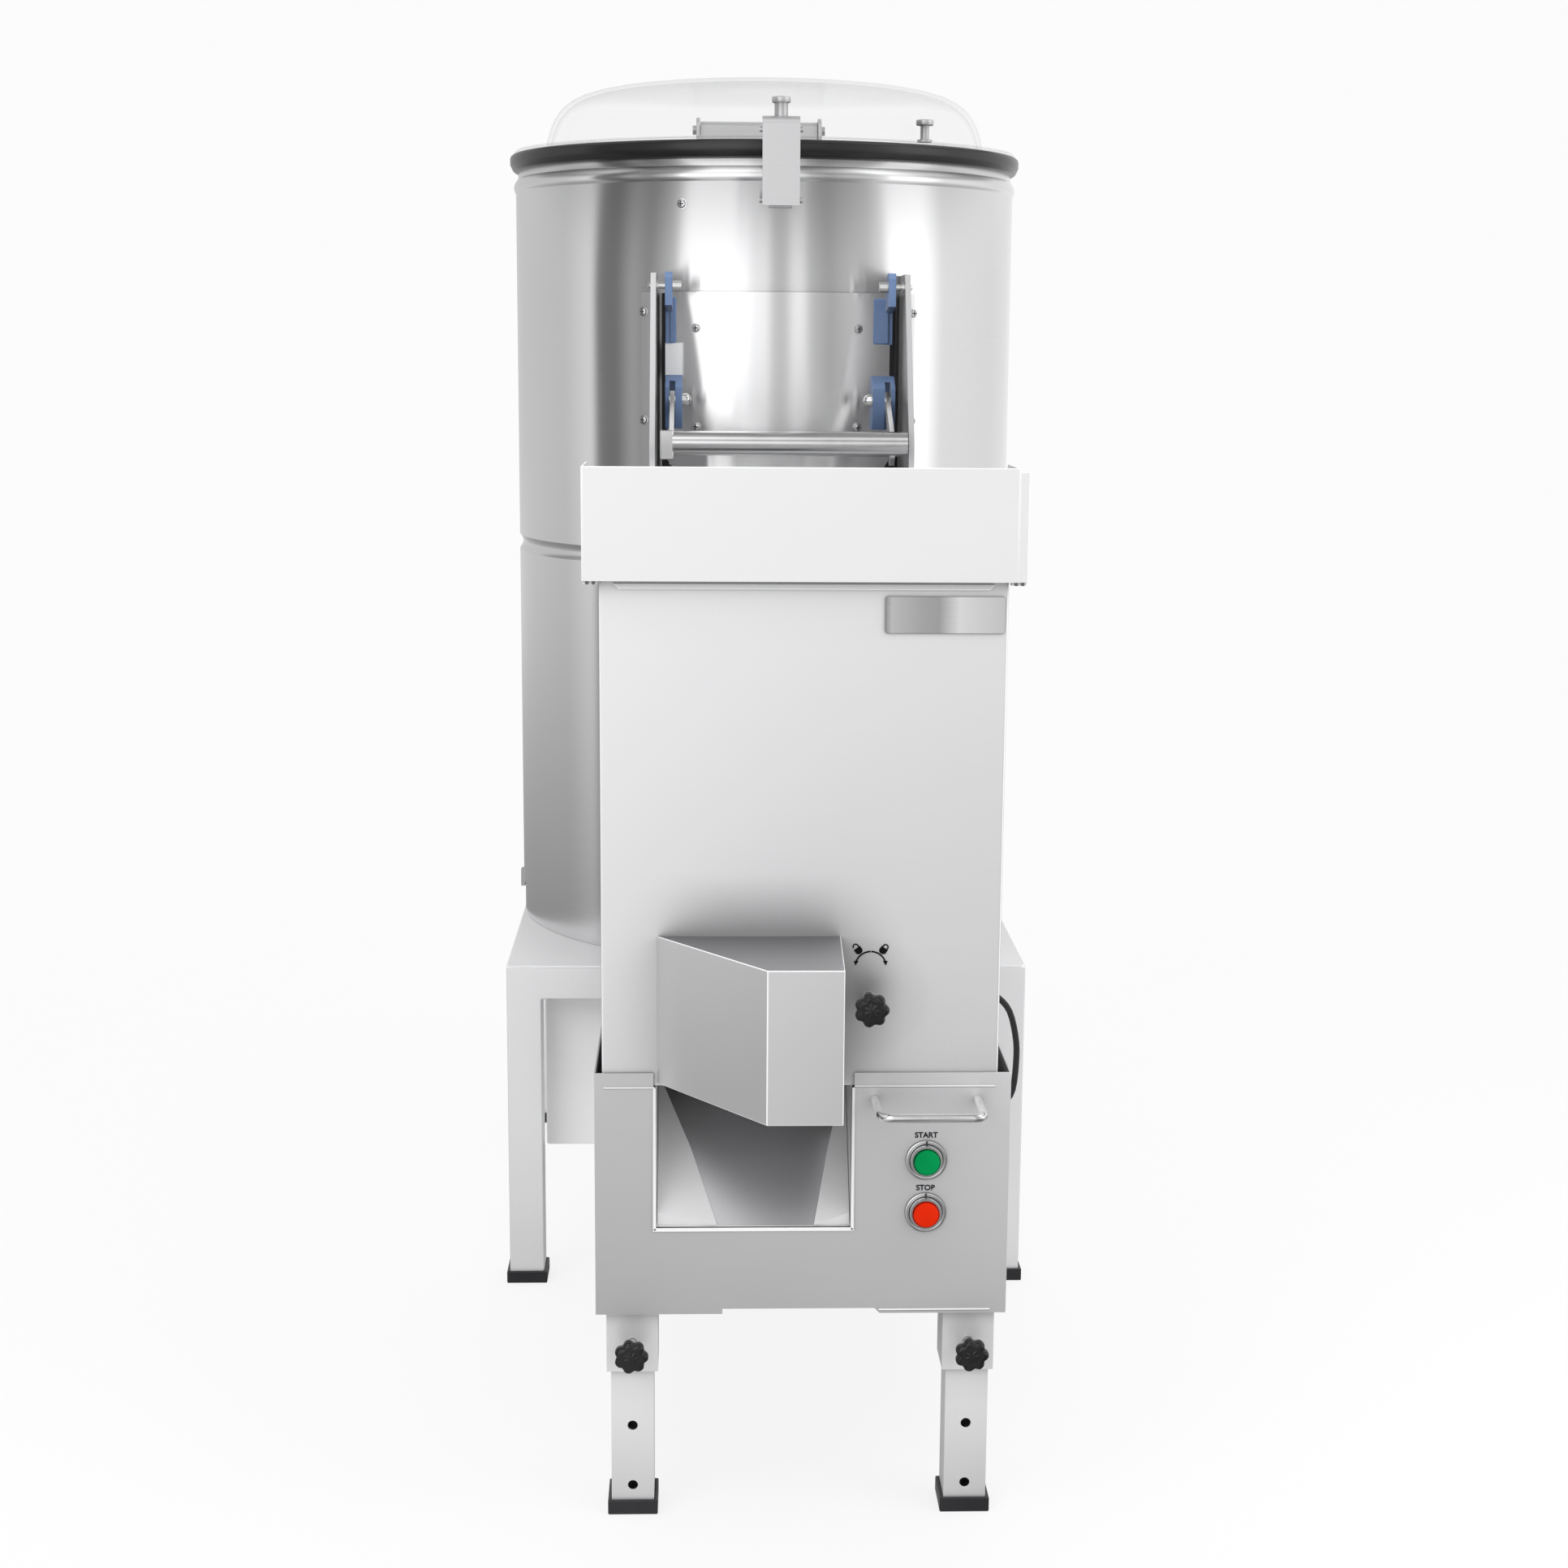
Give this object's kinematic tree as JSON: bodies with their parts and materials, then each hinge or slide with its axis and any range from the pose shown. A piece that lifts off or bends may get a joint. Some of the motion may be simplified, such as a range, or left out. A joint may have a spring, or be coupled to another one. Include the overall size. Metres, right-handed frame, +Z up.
{
  "type": "potato peeler with chip cutter",
  "caption": "Stainless peeling drum with a clear hinged lid and a bail-handled discharge door, on a square stand, feeding a hopper-topped chip cutter with an outlet hood.",
  "frame": {"origin": "on the floor, under the middle of the machine's bounding box", "axes": "+Z up, +X to the right as seen from the front, the front with the outlet hood faces -Y"},
  "size_m": [0.6152, 1.3816, 1.3983],
  "materials": {
    "sheet": "fine satin stainless sheet",
    "brushed": "brushed stainless",
    "steel_bar": "polished stainless",
    "rubber": "matt black",
    "cast": "grey enamel on a casting",
    "abrasive": "coarse grit coating",
    "clear": "clear formed polycarbonate",
    "blue": "blue moulded polymer",
    "black_plastic": "black moulded polymer",
    "green": "green translucent cap",
    "red": "red cap",
    "cord": "black rubber sheathed lead"
  },
  "bodies": {
    "machine": {"stand_frame": "sheet", "stand_foot_front_left": "rubber", "stand_foot_front_right": "rubber", "stand_foot_back_left": "rubber", "stand_foot_back_right": "rubber", "drive_cover": "sheet", "bearing_housing": "cast", "peeler_motor": "cast", "drive_belt": "rubber", "drum_base": "brushed", "drain_pipe": "brushed", "drum_shell": "brushed", "abrasive_liner": "abrasive", "water_inlet": "steel_bar", "lid_seal": "rubber", "lid_hinge_bracket": "brushed", "discharge_spout": "brushed", "door_seal": "rubber", "hinge_pin_left": "steel_bar", "hinge_pin_right": "steel_bar", "hopper_tray": "sheet", "cabinet_shell": "sheet", "feed_funnel": "brushed", "cutter_drum": "brushed", "cutter_motor": "cast", "blade_grid": "steel_bar", "lower_housing": "sheet", "catch_chute": "brushed", "bow_handle": "steel_bar", "start_switch": "steel_bar", "stop_switch": "steel_bar", "cable_gland_upper": "black_plastic", "cable_gland_lower": "black_plastic", "link_cable": "cord"},
    "disc": {"disc_shaft": "steel_bar", "abrasive_disc": "abrasive"},
    "motor_rotor": {"motor_pulley": "cast"},
    "lid": {"lid_dome": "clear", "lid_hinge_arm": "brushed", "latch_lug": "brushed", "lid_stud": "steel_bar"},
    "latch": {"latch_strap": "brushed"},
    "latch_release": {"latch_button": "brushed"},
    "door": {"door_plate": "brushed", "hinge_block_left": "blue", "hinge_block_right": "blue", "handle_block_left": "blue", "handle_block_right": "blue"},
    "bail": {"door_handle": "steel_bar"},
    "cutter": {"cutter_rotor": "cast"},
    "hood": {"outlet_hood": "brushed"},
    "hood_lock": {"hood_knob": "black_plastic"},
    "start_button": {"start_cap": "green"},
    "stop_button": {"stop_cap": "red"},
    "leg_left": {"front_leg_left": "sheet", "front_foot_left": "rubber"},
    "leg_right": {"front_leg_right": "sheet", "front_foot_right": "rubber"},
    "leg_clamp_left": {"leg_knob_left": "black_plastic"},
    "leg_clamp_right": {"leg_knob_right": "black_plastic"}
  },
  "joints": [
    {"name": "lid_hinge", "type": "hinge", "parent": "machine", "child": "lid", "pos_m": [0, 0.67425, 1.3721], "axis": [-1, 0, 0], "range_deg": [0, 95]},
    {"name": "latch_swing", "type": "hinge", "parent": "lid", "child": "latch", "pos_m": [0.0105, 0.02615, 1.3196], "axis": [-1, 0, 0], "range_deg": [0, 38]},
    {"name": "latch_press", "type": "slide", "parent": "latch", "child": "latch_release", "axis": [0, 0, -1], "range_m": [0, 0.003], "stiffness_N_per_m": 400, "springref_m": -0.004},
    {"name": "door_hinge", "type": "hinge", "parent": "machine", "child": "door", "pos_m": [0.0105, 0.02225, 1.152], "axis": [-1, 0, 0], "range_deg": [0, 75]},
    {"name": "bail_hinge", "type": "hinge", "parent": "door", "child": "bail", "pos_m": [0.0105, 0.01025, 1.0295], "axis": [-1, 0, 0], "range_deg": [0, 50]},
    {"name": "disc_spin", "type": "hinge", "parent": "machine", "child": "disc", "pos_m": [0, 0.34425, 0.2397], "axis": [0, 0, 1], "continuous": true},
    {"name": "motor_spin", "type": "hinge", "parent": "machine", "child": "motor_rotor", "pos_m": [-0.165, 0.34425, 0.2397], "axis": [0, 0, 1], "continuous": true},
    {"name": "cutter_spin", "type": "hinge", "parent": "machine", "child": "cutter", "pos_m": [-0.032, -0.37575, 0.4507], "axis": [0, 0, 1], "continuous": true},
    {"name": "hood_hinge", "type": "hinge", "parent": "machine", "child": "hood", "pos_m": [-0.115, -0.56605, 0.4962], "axis": [0, 0, -1], "range_deg": [0, 90]},
    {"name": "hood_lock_turn", "type": "hinge", "parent": "machine", "child": "hood_lock", "pos_m": [0.0768, -0.56575, 0.5075], "axis": [0, -1, 0], "range_deg": [0, 90]},
    {"name": "start_press", "type": "slide", "parent": "machine", "child": "start_button", "axis": [0, 1, 0], "range_m": [0, 0.0035], "stiffness_N_per_m": 400, "springref_m": -0.004},
    {"name": "stop_press", "type": "slide", "parent": "machine", "child": "stop_button", "axis": [0, 1, 0], "range_m": [0, 0.0035], "stiffness_N_per_m": 400, "springref_m": -0.004},
    {"name": "leg_left_slide", "type": "slide", "parent": "machine", "child": "leg_left", "axis": [0, 0, 1], "range_m": [0, 0.1]},
    {"name": "leg_right_slide", "type": "slide", "parent": "machine", "child": "leg_right", "axis": [0, 0, 1], "range_m": [0, 0.1]},
    {"name": "leg_clamp_left_turn", "type": "hinge", "parent": "machine", "child": "leg_clamp_left", "pos_m": [-0.139, -0.55875, 0.1725], "axis": [0, -1, 0], "range_deg": [0, 360]},
    {"name": "leg_clamp_right_turn", "type": "hinge", "parent": "machine", "child": "leg_clamp_right", "pos_m": [0.175, -0.55875, 0.1725], "axis": [0, -1, 0], "range_deg": [0, 360]}
  ],
  "couplings": [
    {"joint": "motor_spin", "follows": "disc_spin", "ratio": 3.6923}
  ]
}
